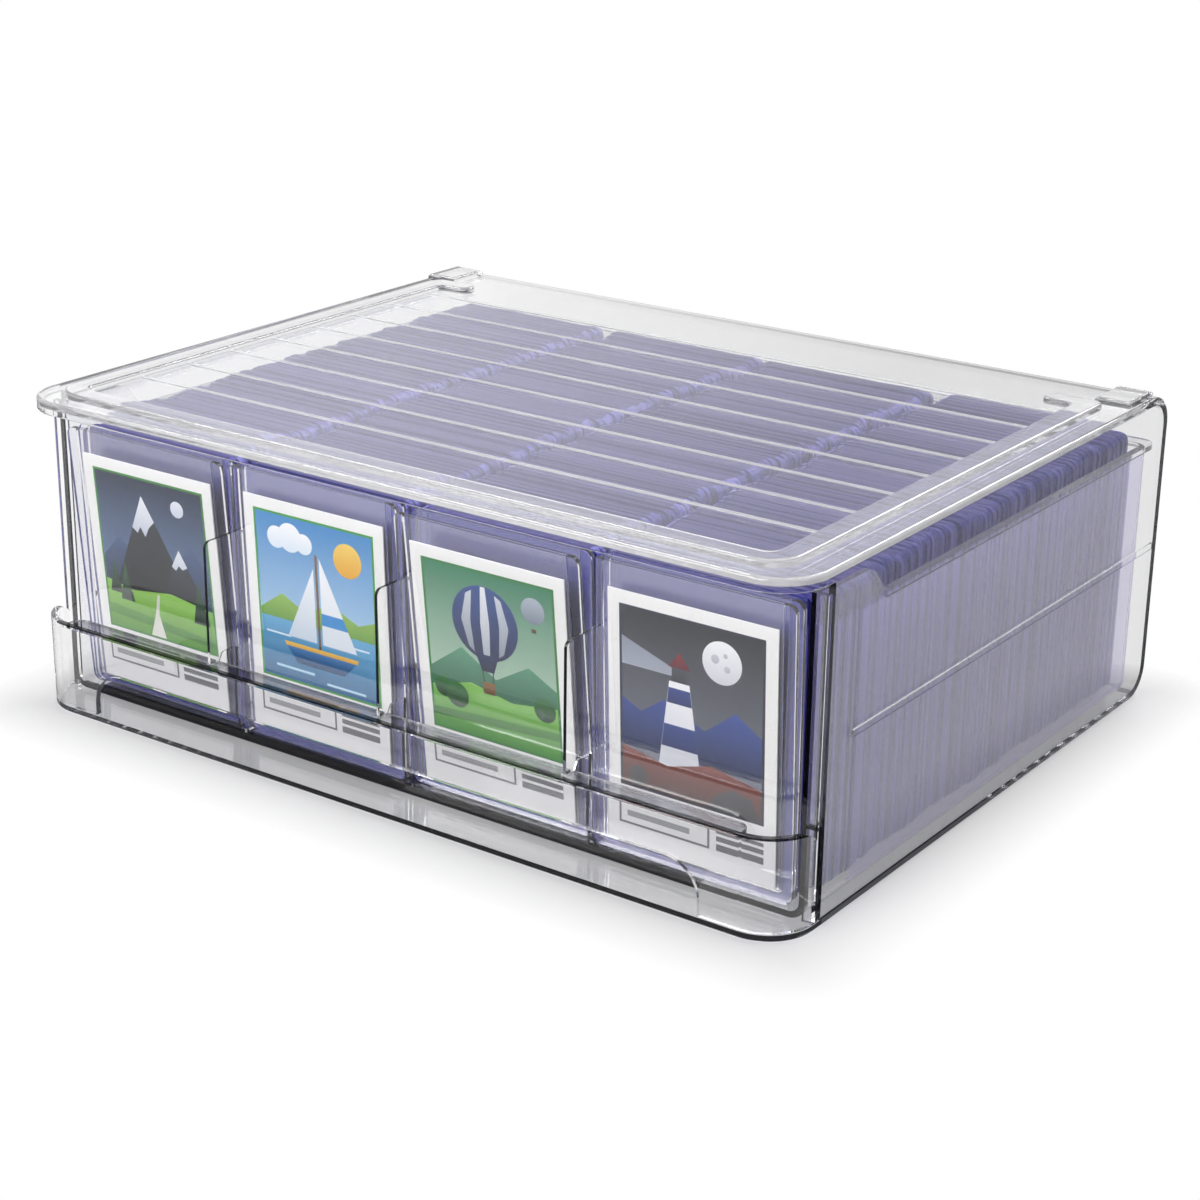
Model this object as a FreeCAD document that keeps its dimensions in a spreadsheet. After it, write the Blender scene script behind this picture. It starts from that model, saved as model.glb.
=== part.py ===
import FreeCAD, Part
import math
import os

import Sketcher

# Clear stacking drawer box filled with four rows of rigid card sleeves, in millimetres.
# Frame: +X right, +Y to the back, +Z up, origin on the resting surface under the middle of the case.

SIZES = {
    # Card, and the rigid sleeve made round it
    "card_width": 63.5,
    "card_height": 88.9,
    "card_thickness": 0.6,
    "card_side_air": 1.75,
    "card_air": 0.15,
    "card_rest_gap": 0.2,
    "sleeve_sheet": 0.5,
    "sleeve_weld": 4.6,
    "sleeve_seam": 3.5,
    "sleeve_headroom": 9.0,
    "sleeve_corner_radius": 3.0,
    # Rows of sleeves in the drawer
    "sleeve_air": 0.2,
    "sleeve_rest_gap": 0.2,
    "row_side_gap": 3.7,
    "row_front_gap": 1.2,
    "row_1_slack": 2.4,
    "row_2_slack": 0.0,
    "row_3_slack": 2.4,
    "row_4_slack": 0.0,
    # Forward lean of each row's front sleeve in degrees, and the share of it that the second sleeve has
    "row_1_lean": 4.2,
    "row_2_lean": 2.2,
    "row_3_lean": 5.9,
    "row_4_lean": 2.6,
    "second_lean_share": 0.5,
    # Outer case: a sleeve that is open at the front
    "case_depth": 265.0,
    "case_wall": 2.5,
    "bottom_plate": 2.5,
    "top_plate": 3.0,
    "ceiling_gap": 10.1,
    "front_corner_radius": 17.5,
    "rear_edge_radius": 12.0,
    "outer_edge_round": 1.2,
    "rim_height": 5.0,
    "rim_round": 0.8,
    # Stacking rail, rear pads and thin ribs on the case's top
    "rail_inset": 10.0,
    "rail_front_inset": 7.0,
    "rail_width": 9.0,
    "rail_height": 2.4,
    "rail_round": 1.1,
    "rail_inner_radius": 4.0,
    "rail_end_flat": 0.6,
    "rail_rear_gap": 23.5,
    "rail_leg": 13.0,
    "rail_leg_radius": 3.0,
    "pad_width": 14.0,
    "pad_length": 20.0,
    "pad_inset": 2.0,
    "pad_round": 1.2,
    "top_rib_width": 1.6,
    "top_rib_height": 0.5,
    "top_rib_first_gap": 28.2,
    "top_rib_last_gap": 16.2,
    # Guide rib inside each side wall, which keeps the drawer straight
    "guide_rise": 0.8,
    "guide_width": 2.4,
    "guide_level": 60.0,
    "guide_front_gap": 17.0,
    # Drawer trough
    "drawer_wall": 2.2,
    "drawer_floor": 2.2,
    "drawer_side_gap": 0.4,
    "drawer_floor_gap": 0.4,
    "drawer_rear_gap": 3.0,
    "trough_inner_radius": 3.6,
    "sleeve_show": 5.0,
    "upright_gap": 3.0,
    "upright_length": 31.0,
    "upright_slope_run": 8.0,
    "upright_slope_radius": 9.0,
    "rim_flange": 5.0,
    "side_flange": 0.8,
    "flange_thickness": 2.0,
    "flange_corner_radius": 6.0,
    "front_flange": 2.2,
    "front_flange_gap": 1.8,
    # Drawer lip with its shelf and finger cut-out
    "lip_wall": 2.2,
    "lip_height": 32.6,
    "lip_end_radius": 10.0,
    "shelf_depth": 8.0,
    "shelf_thickness": 2.0,
    "shelf_corner_radius": 5.0,
    "arch_end_gap": 32.0,
    "arch_height": 17.6,
    "arch_radius": 13.0,
    # Dividers and the notches and guides that hold them
    "divider_thickness": 1.2,
    "divider_height": 75.6,
    "divider_corner_radius": 2.5,
    "divider_gap": 0.4,
    "divider_front_gap": 0.8,
    "notch_depth": 4.2,
    "lobe_drop": 1.5,
    "lobe_radius": 1.2,
    "nose_rise": 2.5,
    "nose_slope_run": 2.2,
    "divider_guide_width": 1.4,
    "divider_guide_depth": 2.0,
    "divider_guide_height": 60.0,
    # One overrun for every cut, and how close a point counts as on a plane
    "cut_overrun": 1.0,
    "match_tolerance": 0.01,
}
TOP_RIB_COUNT = 8
ROW_COUNT = 4
SINGLE_SLEEVES = ("front_sleeve", "second_sleeve")
DIVIDERS = ("divider_left", "divider_middle", "divider_right")

doc = FreeCAD.newDocument("card_drawer_box")
sheet = doc.addObject("Spreadsheet::Sheet", "Sizes")
for line, (alias, value) in enumerate(SIZES.items(), start=1):
    sheet.set(f"A{line}", alias)
    sheet.set(f"B{line}", str(value))
    sheet.setAlias(f"B{line}", alias)
doc.recompute()

# Sleeve and rows, as expressions over the sheet
POCKET_WIDTH = "(Sizes.card_width + 2 * Sizes.card_side_air)"
POCKET_THICKNESS = "(Sizes.card_thickness + 2 * Sizes.card_air)"
SLEEVE_WIDTH = f"({POCKET_WIDTH} + 2 * Sizes.sleeve_weld)"
SLEEVE_THICKNESS = f"({POCKET_THICKNESS} + 2 * Sizes.sleeve_sheet)"
SLEEVE_HEIGHT = "(Sizes.sleeve_seam + Sizes.card_rest_gap + Sizes.card_height + Sizes.sleeve_headroom)"
SLEEVE_STEP = f"({SLEEVE_THICKNESS} + Sizes.sleeve_air)"
SLOT_WIDTH = "(Sizes.divider_thickness + 2 * Sizes.divider_gap)"
ROW_PITCH = f"({SLEEVE_WIDTH} + {SLOT_WIDTH})"

# Places across the box, from the middle to its right side
TROUGH_INSIDE = f"({ROW_COUNT} * {ROW_PITCH} / 2 - {SLOT_WIDTH} / 2 + Sizes.row_side_gap)"
TROUGH_SIDE = f"({TROUGH_INSIDE} + Sizes.drawer_wall)"
CASE_INSIDE = f"({TROUGH_SIDE} + Sizes.drawer_side_gap + Sizes.guide_rise)"
CASE_SIDE = f"({CASE_INSIDE} + Sizes.case_wall)"

# Places along the box, from its front to its back
CASE_FRONT = "(-Sizes.case_depth / 2)"
SHELF_REAR = f"({CASE_FRONT} + Sizes.shelf_depth)"
NOTCH_FRONT = f"({SHELF_REAR} - Sizes.notch_depth)"
TROUGH_FRONT = f"({CASE_FRONT} + Sizes.front_corner_radius)"
ROW_FRONT = f"({TROUGH_FRONT} + Sizes.row_front_gap)"
WALL_FRONT = f"({TROUGH_FRONT} + Sizes.front_flange + Sizes.front_flange_gap)"
UPRIGHT_END = f"({TROUGH_FRONT} + Sizes.upright_length)"
SLOPE_END = f"({UPRIGHT_END} + Sizes.upright_slope_run)"
CASE_BACK = "(Sizes.case_depth / 2)"
TROUGH_BACK = f"({CASE_BACK} - Sizes.case_wall - Sizes.drawer_rear_gap - Sizes.rim_flange)"
TROUGH_BACK_INSIDE = f"({TROUGH_BACK} - Sizes.drawer_wall)"
REAR_CLEAR = "max(Sizes.divider_guide_depth; Sizes.trough_inner_radius)"
ROW_BACK = f"({TROUGH_BACK_INSIDE} - {REAR_CLEAR} - Sizes.sleeve_rest_gap)"

# Places up the box, from its base to its top
DRAWER_BOTTOM = "(Sizes.bottom_plate + Sizes.drawer_floor_gap)"
DRAWER_FLOOR = f"({DRAWER_BOTTOM} + Sizes.drawer_floor)"
SLEEVE_BOTTOM = f"({DRAWER_FLOOR} + Sizes.sleeve_rest_gap)"
LIP_TOP = f"({DRAWER_BOTTOM} + Sizes.lip_height)"
SLEEVE_TOP = f"({SLEEVE_BOTTOM} + {SLEEVE_HEIGHT})"
DRAWER_RIM = f"({SLEEVE_TOP} - Sizes.sleeve_show)"
CEILING = f"({SLEEVE_TOP} + Sizes.ceiling_gap)"
CASE_TOP = f"({CEILING} + Sizes.top_plate)"
RIM_BOTTOM = f"({CASE_TOP} - Sizes.rim_height)"
UPRIGHT_TOP = f"({RIM_BOTTOM} - Sizes.upright_gap)"


def number(expression):
    """Value of an expression over the sheet."""
    return float(sheet.evalExpression(expression.replace("Sizes.", "")))


def new_body(label, many_solids=False):
    """Empty body with the label that names its file."""
    body = doc.addObject("PartDesign::Body", label)
    body.Label = label
    body.AllowCompound = many_solids
    return body


def origin_feature(body, role):
    """Origin plane or axis of a body."""
    return next(feature for feature in body.Origin.OriginFeatures if feature.Role == role)


def new_sketch(body, name, role, offset="0"):
    """Sketch on an origin plane of the body, moved along the plane's normal."""
    sketch = body.newObject("Sketcher::SketchObject", name)
    sketch.AttachmentSupport = [(origin_feature(body, role), "")]
    sketch.MapMode = "FlatFace"
    sketch.setExpression("AttachmentOffset.Base.z", offset)
    return sketch


def pin_point(sketch, geometry, end, place):
    """Tie a sketch point to the two expressions of its place."""
    for kind, expression in zip(("DistanceX", "DistanceY"), place):
        index = sketch.addConstraint(Sketcher.Constraint(kind, -1, 1, geometry, end, number(expression)))
        sketch.setExpression(f"Constraints[{index}]", expression)


def round_corner(sketch, line_in, line_out, corner, points):
    """Add the arc of a rounded corner between two sides, its radius and its sharp point."""
    start = points[0]
    arc = sketch.addGeometry(Part.Arc(*points), False)
    reaches = [sketch.getPoint(arc, end).distanceToPoint(start) for end in (1, 2)]
    first = 1 if reaches[0] < reaches[1] else 2
    sketch.addConstraint(Sketcher.Constraint("Tangent", line_in, 2, arc, first))
    sketch.addConstraint(Sketcher.Constraint("Tangent", arc, 3 - first, line_out, 1))
    radius = sketch.addConstraint(Sketcher.Constraint("Radius", arc, number(corner[2])))
    sketch.setExpression(f"Constraints[{radius}]", corner[2])
    sharp = FreeCAD.Vector(number(corner[0]), number(corner[1]), 0)
    point = sketch.addGeometry(Part.Point(sharp), True)
    sketch.addConstraint(Sketcher.Constraint("PointOnObject", point, 1, line_in))
    sketch.addConstraint(Sketcher.Constraint("PointOnObject", point, 1, line_out))
    pin_point(sketch, point, 1, corner[:2])


def corner_points(before, corner, after):
    """Start, middle and end of the arc that rounds a corner, or the corner itself three times."""
    sharp = FreeCAD.Vector(number(corner[0]), number(corner[1]), 0)
    if len(corner) == 2:
        return sharp, sharp, sharp
    back = (FreeCAD.Vector(number(before[0]), number(before[1]), 0) - sharp).normalize()
    ahead = (FreeCAD.Vector(number(after[0]), number(after[1]), 0) - sharp).normalize()
    radius = number(corner[2])
    half_angle = back.getAngle(ahead) / 2
    reach = radius / math.tan(half_angle)
    inward = (back + ahead).normalize()
    middle = sharp + inward * (radius / math.sin(half_angle) - radius)
    return sharp + back * reach, middle, sharp + ahead * reach


def draw_outline(sketch, corners):
    """Close an outline through corners, each a pair of expressions with a radius where it is rounded."""
    count = len(corners)
    points = [corner_points(corners[i - 1], corners[i], corners[(i + 1) % count]) for i in range(count)]
    sides = []
    for i in range(count):
        side = Part.LineSegment(points[i][2], points[(i + 1) % count][0])
        sides.append(sketch.addGeometry(side, False))
    for i, corner in enumerate(corners):
        line_in, line_out = sides[i - 1], sides[i]
        if len(corner) == 3:
            round_corner(sketch, line_in, line_out, corner, points[i])
        else:
            sketch.addConstraint(Sketcher.Constraint("Coincident", line_in, 2, line_out, 1))
            pin_point(sketch, line_out, 1, corner)


def draw_rectangle(sketch, left, right, low, high):
    """Rectangle between four expressions."""
    draw_outline(sketch, [(left, low), (right, low), (right, high), (left, high)])


def extrude(body, kind, name, sketch, length, symmetric=False, reverse=False):
    """Pad or pocket of a sketch, one way or to both sides."""
    feature = body.newObject(f"PartDesign::{kind}", name)
    feature.Profile = sketch
    feature.setExpression("Length", length)
    feature.SideType = "Symmetric" if symmetric else "One side"
    feature.Reversed = reverse
    body.Tip = feature
    doc.recompute()
    return feature


def pad(body, name, sketch, length, symmetric=False, reverse=False):
    """Pad of a sketch."""
    return extrude(body, "Pad", name, sketch, length, symmetric, reverse)


def cut(body, name, sketch, length, symmetric=False, reverse=False):
    """Pocket that must take material away."""
    before = body.Shape.Volume
    feature = extrude(body, "Pocket", name, sketch, length, symmetric, reverse)
    if body.Shape.Volume >= before:
        raise RuntimeError(f"{name} cut nothing")
    return feature


def round_edges(body, name, radius, wanted):
    """Fillet on the edges of the body's tip whose middle passes a test."""
    base = body.Tip
    edges = [f"Edge{i}" for i, edge in enumerate(base.Shape.Edges, start=1) if wanted(edge.CenterOfMass)]
    feature = body.newObject("PartDesign::Fillet", name)
    feature.Base = (base, edges)
    feature.setExpression("Radius", radius)
    body.Tip = feature
    doc.recompute()
    return feature


def mirror(body, name, features):
    """Copy features to the other side of the middle plane."""
    feature = body.newObject("PartDesign::Mirrored", name)
    feature.Originals = features
    feature.MirrorPlane = (origin_feature(body, "YZ_Plane"), [""])
    body.Tip = feature
    doc.recompute()
    return feature


def repeat(body, name, features, role, spacing, count, reverse=False):
    """Copy features along an origin axis at an even spacing."""
    feature = body.newObject("PartDesign::LinearPattern", name)
    feature.Originals = features
    feature.Direction = (origin_feature(body, role), [""])
    feature.Reversed = reverse
    feature.Mode = "Spacing"
    feature.setExpression("Offset", spacing)
    feature.setExpression("Occurrences", count)
    body.Tip = feature
    doc.recompute()
    return feature


def near(value, expression):
    """Whether a coordinate lies on a plane given as an expression."""
    return abs(value - number(expression)) < number("Sizes.match_tolerance")


def place(body, x="0", y="0", z="0"):
    """Put a body at a place given as expressions."""
    for axis, expression in zip("xyz", (x, y, z)):
        body.setExpression(f"Placement.Base.{axis}", expression)


def make_case():
    """Sleeve with rounded rear edges, a front rim, stacking rail, pads, ribs and inner guide ribs."""
    body = new_body("outer_case")
    profile = new_sketch(body, "case_profile", "YZ_Plane")
    draw_outline(profile, [
        (CASE_FRONT, "0"),
        (CASE_BACK, "0", "Sizes.rear_edge_radius"),
        (CASE_BACK, CASE_TOP, "Sizes.rear_edge_radius"),
        (CASE_FRONT, CASE_TOP),
    ])
    pad(body, "case_block", profile, f"2 * {CASE_SIDE}", symmetric=True)
    round_edges(body, "case_front_corners", "Sizes.front_corner_radius",
                lambda p: near(p.y, CASE_FRONT) and near(abs(p.x), CASE_SIDE))
    round_edges(body, "case_outer_edges", "Sizes.outer_edge_round",
                lambda p: near(p.y, CASE_FRONT) and (near(p.z, "0") or near(p.z, CASE_TOP)))

    inside = new_sketch(body, "case_inside", "YZ_Plane")
    inner_radius = "Sizes.rear_edge_radius - Sizes.case_wall"
    draw_outline(inside, [
        (f"{CASE_FRONT} - Sizes.cut_overrun", "Sizes.bottom_plate"),
        (f"{CASE_BACK} - Sizes.case_wall", "Sizes.bottom_plate", inner_radius),
        (f"{CASE_BACK} - Sizes.case_wall", CEILING, inner_radius),
        (f"{CASE_FRONT} - Sizes.cut_overrun", CEILING),
    ])
    cut(body, "case_hollow", inside, f"2 * {CASE_INSIDE}", symmetric=True)
    mouth = new_sketch(body, "case_mouth", "YZ_Plane")
    draw_rectangle(mouth, f"{CASE_FRONT} - Sizes.cut_overrun", WALL_FRONT, "Sizes.bottom_plate", CEILING)
    cut(body, "case_open_corners", mouth, f"2 * ({CASE_SIDE} + Sizes.cut_overrun)", symmetric=True)

    rim = new_sketch(body, "rim_band", "XY_Plane", RIM_BOTTOM)
    rim_radius = "Sizes.front_corner_radius"
    rim_inner_radius = "Sizes.front_corner_radius - Sizes.case_wall"
    draw_outline(rim, [
        (CASE_SIDE, WALL_FRONT),
        (CASE_SIDE, CASE_FRONT, rim_radius),
        (f"-{CASE_SIDE}", CASE_FRONT, rim_radius),
        (f"-{CASE_SIDE}", WALL_FRONT),
        (f"-{CASE_INSIDE}", WALL_FRONT),
        (f"-{CASE_INSIDE}", f"{CASE_FRONT} + Sizes.case_wall", rim_inner_radius),
        (CASE_INSIDE, f"{CASE_FRONT} + Sizes.case_wall", rim_inner_radius),
        (CASE_INSIDE, WALL_FRONT),
    ])
    pad(body, "front_rim", rim, "Sizes.rim_height - Sizes.top_plate / 2")
    round_edges(body, "rim_edges", "Sizes.rim_round",
                lambda p: near(p.z, RIM_BOTTOM) and near(p.x, "0") and near(p.y, CASE_FRONT))

    add_guide_ribs(body)
    add_top_features(body)
    return body


def add_guide_ribs(body):
    """Rib along the inside of each side wall, from near the front edge to the back wall."""
    rib = new_sketch(body, "guide_rib_face", "YZ_Plane", CASE_INSIDE)
    low = "Sizes.guide_level - Sizes.guide_width / 2"
    high = "Sizes.guide_level + Sizes.guide_width / 2"
    draw_rectangle(rib, f"{WALL_FRONT} + Sizes.guide_front_gap", f"{CASE_BACK} - Sizes.case_wall", low, high)
    right = pad(body, "guide_rib", rib, "Sizes.guide_rise", reverse=True)
    mirror(body, "guide_ribs", [right])


def add_top_features(body):
    """Stacking rail with inward legs at its rear ends, a pad at each rear corner, and thin ribs across the top."""
    rail_outside = f"({CASE_SIDE} - Sizes.rail_inset)"
    rail_inside = f"({rail_outside} - Sizes.rail_width)"
    rail_front = f"({CASE_FRONT} + Sizes.rail_front_inset)"
    rail_front_inside = f"({rail_front} + Sizes.rail_width)"
    rail_end = f"({CASE_BACK} - Sizes.rear_edge_radius - Sizes.rail_rear_gap)"
    leg_inside = f"({rail_inside} - Sizes.rail_leg)"
    leg_front = f"({rail_end} - Sizes.rail_width)"
    leg_radius = "Sizes.rail_leg_radius"
    inner_radius = "Sizes.rail_inner_radius"
    outer_radius = "Sizes.rail_inner_radius + Sizes.rail_width"
    end_radius = "(Sizes.rail_width - Sizes.rail_end_flat) / 2"
    rail = new_sketch(body, "rail_band", "XY_Plane", CASE_TOP)
    draw_outline(rail, [
        (rail_outside, rail_end, end_radius),
        (rail_outside, rail_front, outer_radius),
        (f"-{rail_outside}", rail_front, outer_radius),
        (f"-{rail_outside}", rail_end, end_radius),
        (f"-{leg_inside}", rail_end, end_radius),
        (f"-{leg_inside}", leg_front, end_radius),
        (f"-{rail_inside}", leg_front, leg_radius),
        (f"-{rail_inside}", rail_front_inside, inner_radius),
        (rail_inside, rail_front_inside, inner_radius),
        (rail_inside, leg_front, leg_radius),
        (leg_inside, leg_front, end_radius),
        (leg_inside, rail_end, end_radius),
    ])
    pad(body, "stacking_rail", rail, "Sizes.rail_height")
    rail_top = f"{CASE_TOP} + Sizes.rail_height"
    round_edges(body, "rail_edges", "Sizes.rail_round", lambda p: near(p.z, rail_top))

    pad_outside = f"({CASE_SIDE} - Sizes.pad_inset)"
    pad_back = f"({CASE_BACK} - Sizes.rear_edge_radius)"
    corner = new_sketch(body, "pad_face", "XY_Plane", f"{CASE_TOP} - Sizes.top_plate / 2")
    draw_rectangle(corner, f"{pad_outside} - Sizes.pad_width", pad_outside,
                   f"{pad_back} - Sizes.pad_length", pad_back)
    right_pad = pad(body, "rear_pad", corner, "Sizes.rail_height + Sizes.top_plate / 2")
    mirror(body, "rear_pads", [right_pad])
    pad_front = number(f"{pad_back} - Sizes.pad_length - Sizes.match_tolerance")
    round_edges(body, "pad_edges", "Sizes.pad_round", lambda p: near(p.z, rail_top) and p.y > pad_front)

    rib = new_sketch(body, "top_rib_face", "XY_Plane", CASE_TOP)
    first = f"({rail_front_inside} + Sizes.top_rib_first_gap)"
    last = f"({rail_end} - Sizes.top_rib_last_gap - Sizes.top_rib_width)"
    draw_rectangle(rib, f"-{rail_inside}", rail_inside, first, f"{first} + Sizes.top_rib_width")
    first_rib = pad(body, "top_rib", rib, "Sizes.top_rib_height")
    pitch = f"({last} - {first}) / {TOP_RIB_COUNT - 1}"
    repeat(body, "top_ribs", [first_rib], "Y_Axis", pitch, str(TOP_RIB_COUNT))


def make_drawer():
    """Trough with tall front uprights, an outward rim, front flanges and a low wrapped lip."""
    body = new_body("drawer", many_solids=True)
    outer_radius = "Sizes.trough_inner_radius + Sizes.drawer_wall"
    profile = new_sketch(body, "trough_profile", "YZ_Plane")
    draw_outline(profile, [
        (TROUGH_FRONT, DRAWER_BOTTOM),
        (TROUGH_BACK, DRAWER_BOTTOM, outer_radius),
        (TROUGH_BACK, DRAWER_RIM),
        (SLOPE_END, DRAWER_RIM, "Sizes.upright_slope_radius"),
        (UPRIGHT_END, UPRIGHT_TOP, "Sizes.upright_slope_radius"),
        (TROUGH_FRONT, UPRIGHT_TOP),
    ])
    pad(body, "trough_block", profile, f"2 * {TROUGH_SIDE}", symmetric=True)
    inside = new_sketch(body, "trough_inside", "YZ_Plane")
    over_front = f"{TROUGH_FRONT} - Sizes.cut_overrun"
    over_top = f"{UPRIGHT_TOP} + Sizes.cut_overrun"
    draw_outline(inside, [
        (over_front, DRAWER_FLOOR),
        (TROUGH_BACK_INSIDE, DRAWER_FLOOR, "Sizes.trough_inner_radius"),
        (TROUGH_BACK_INSIDE, over_top),
        (over_front, over_top),
    ])
    cut(body, "trough_hollow", inside, f"2 * {TROUGH_INSIDE}", symmetric=True)
    round_edges(body, "trough_inner_edges", "Sizes.trough_inner_radius",
                lambda p: near(p.z, DRAWER_FLOOR) and near(abs(p.x), TROUGH_INSIDE))
    round_edges(body, "trough_outer_edges", outer_radius,
                lambda p: near(p.z, DRAWER_BOTTOM) and near(abs(p.x), TROUGH_SIDE))

    add_drawer_rim(body)
    add_lip(body)
    add_divider_guides(body)
    return body


def add_drawer_rim(body):
    """Rim that stands out a little along the sides and more at the back."""
    outside = f"({TROUGH_SIDE} + Sizes.side_flange)"
    rear = f"({TROUGH_BACK} + Sizes.rim_flange)"
    inside = f"({TROUGH_SIDE} - Sizes.drawer_wall / 2)"
    inside_rear = f"({TROUGH_BACK} - Sizes.drawer_wall / 2)"
    inner_radius = "Sizes.trough_inner_radius + Sizes.drawer_wall / 2"
    band = new_sketch(body, "drawer_rim_band", "XY_Plane", f"{DRAWER_RIM} - Sizes.flange_thickness")
    draw_outline(band, [
        (outside, SLOPE_END),
        (outside, rear, "Sizes.flange_corner_radius"),
        (f"-{outside}", rear, "Sizes.flange_corner_radius"),
        (f"-{outside}", SLOPE_END),
        (f"-{inside}", SLOPE_END),
        (f"-{inside}", inside_rear, inner_radius),
        (inside, inside_rear, inner_radius),
        (inside, SLOPE_END),
    ])
    pad(body, "drawer_rim", band, "Sizes.flange_thickness")


def add_lip(body):
    """Low lip that follows the case's front corners, its flanges, its finger cut-out and its shelf."""
    lip_end = f"({TROUGH_FRONT} + Sizes.front_flange)"
    lip_side = f"({CASE_SIDE} - Sizes.lip_wall)"
    lip_back = f"({CASE_FRONT} + Sizes.lip_wall)"
    inner_radius = "Sizes.front_corner_radius - Sizes.lip_wall"
    band = new_sketch(body, "lip_band", "XY_Plane", DRAWER_BOTTOM)
    draw_outline(band, [
        (CASE_SIDE, lip_end),
        (CASE_SIDE, CASE_FRONT, "Sizes.front_corner_radius"),
        (f"-{CASE_SIDE}", CASE_FRONT, "Sizes.front_corner_radius"),
        (f"-{CASE_SIDE}", lip_end),
        (f"-{lip_side}", lip_end),
        (f"-{lip_side}", lip_back, inner_radius),
        (lip_side, lip_back, inner_radius),
        (lip_side, lip_end),
    ])
    pad(body, "lip", band, "Sizes.lip_height")
    round_edges(body, "lip_ends", "Sizes.lip_end_radius",
                lambda p: near(p.z, LIP_TOP) and near(p.y, lip_end))

    flange = new_sketch(body, "front_flange_face", "XZ_Plane", f"-{TROUGH_FRONT}")
    draw_rectangle(flange, f"{TROUGH_SIDE} - Sizes.drawer_wall / 2", CASE_SIDE, DRAWER_BOTTOM, UPRIGHT_TOP)
    right = pad(body, "front_flange", flange, "Sizes.front_flange", reverse=True)
    mirror(body, "front_flanges", [right])

    arch = new_sketch(body, "finger_arch", "XZ_Plane", f"-{CASE_FRONT}")
    arch_side = f"({CASE_SIDE} - Sizes.arch_end_gap)"
    arch_top = f"{DRAWER_BOTTOM} + Sizes.arch_height"
    arch_low = f"{DRAWER_BOTTOM} - Sizes.cut_overrun"
    draw_outline(arch, [
        (f"-{arch_side}", arch_low),
        (arch_side, arch_low),
        (arch_side, arch_top, "Sizes.arch_radius"),
        (f"-{arch_side}", arch_top, "Sizes.arch_radius"),
    ])
    cut(body, "finger_cutout", arch, "Sizes.lip_wall + Sizes.cut_overrun")

    shelf_end = f"({CASE_SIDE} - Sizes.front_corner_radius)"
    shelf = new_sketch(body, "shelf_face", "XY_Plane", f"{LIP_TOP} - Sizes.shelf_thickness")
    draw_outline(shelf, [
        (f"-{shelf_end}", f"{CASE_FRONT} + Sizes.lip_wall / 2"),
        (shelf_end, f"{CASE_FRONT} + Sizes.lip_wall / 2"),
        (shelf_end, SHELF_REAR, "Sizes.shelf_corner_radius"),
        (f"-{shelf_end}", SHELF_REAR, "Sizes.shelf_corner_radius"),
    ])
    pad(body, "lip_shelf", shelf, "Sizes.shelf_thickness")
    notch = new_sketch(body, "notch_face", "XY_Plane", LIP_TOP)
    draw_rectangle(notch, f"-{ROW_PITCH} - {SLOT_WIDTH} / 2", f"-{ROW_PITCH} + {SLOT_WIDTH} / 2",
                   NOTCH_FRONT, f"{SHELF_REAR} + Sizes.cut_overrun")
    first = cut(body, "notch", notch, "Sizes.shelf_thickness")
    repeat(body, "notches", [first], "X_Axis", ROW_PITCH, str(len(DIVIDERS)))


def add_divider_guides(body):
    """Pair of short ribs on the back wall for the rear edge of each divider."""
    face = new_sketch(body, "divider_guide_face", "XY_Plane", f"{DRAWER_FLOOR} - Sizes.drawer_floor / 2")
    front = f"{TROUGH_BACK_INSIDE} - Sizes.divider_guide_depth"
    back = f"{TROUGH_BACK_INSIDE} + Sizes.drawer_wall / 2"
    slot_left = f"(-{ROW_PITCH} - {SLOT_WIDTH} / 2)"
    slot_right = f"(-{ROW_PITCH} + {SLOT_WIDTH} / 2)"
    draw_rectangle(face, f"{slot_left} - Sizes.divider_guide_width", slot_left, front, back)
    draw_rectangle(face, slot_right, f"{slot_right} + Sizes.divider_guide_width", front, back)
    first = pad(body, "divider_guide", face, "Sizes.divider_guide_height")
    repeat(body, "divider_guides", [first], "X_Axis", ROW_PITCH, str(len(DIVIDERS)))


def make_divider(label, line):
    """Thin plate between two rows; its nose hangs in a shelf notch, its rear edge stands in a guide."""
    body = new_body(label)
    low = f"({DRAWER_FLOOR} + Sizes.sleeve_rest_gap)"
    high = f"({low} + Sizes.divider_height)"
    rear = f"({TROUGH_BACK_INSIDE} - Sizes.divider_gap)"
    nose = f"({NOTCH_FRONT} + Sizes.divider_gap)"
    lobe_low = f"({LIP_TOP} - Sizes.lobe_drop)"
    lobe_rear = f"({SHELF_REAR} + Sizes.divider_gap)"
    nose_low = f"({LIP_TOP} + Sizes.nose_rise)"
    panel_front = f"({TROUGH_FRONT} + Sizes.divider_front_gap)"
    face = new_sketch(body, f"{label}_face", "YZ_Plane")
    draw_outline(face, [
        (rear, low, "Sizes.trough_inner_radius"),
        (rear, high, "Sizes.divider_corner_radius"),
        (nose, high, "Sizes.divider_corner_radius"),
        (nose, lobe_low, "Sizes.lobe_radius"),
        (lobe_rear, lobe_low, "Sizes.lobe_radius"),
        (f"{lobe_rear} + Sizes.nose_slope_run", nose_low, "Sizes.lobe_radius"),
        (panel_front, nose_low, "Sizes.lobe_radius"),
        (panel_front, low),
    ])
    pad(body, f"{label}_plate", face, "Sizes.divider_thickness", symmetric=True)
    place(body, x=f"{line} * {ROW_PITCH}")
    return body


def row_centre(row):
    """Expression for the middle of a row across the drawer."""
    return f"{row - (ROW_COUNT + 1) / 2} * {ROW_PITCH}"


def row_count(row):
    """Expression for the number of sleeves that fit in a row."""
    return f"floor(({ROW_BACK} - {ROW_FRONT} - Sizes.row_{row}_slack) / {SLEEVE_STEP})"


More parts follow.
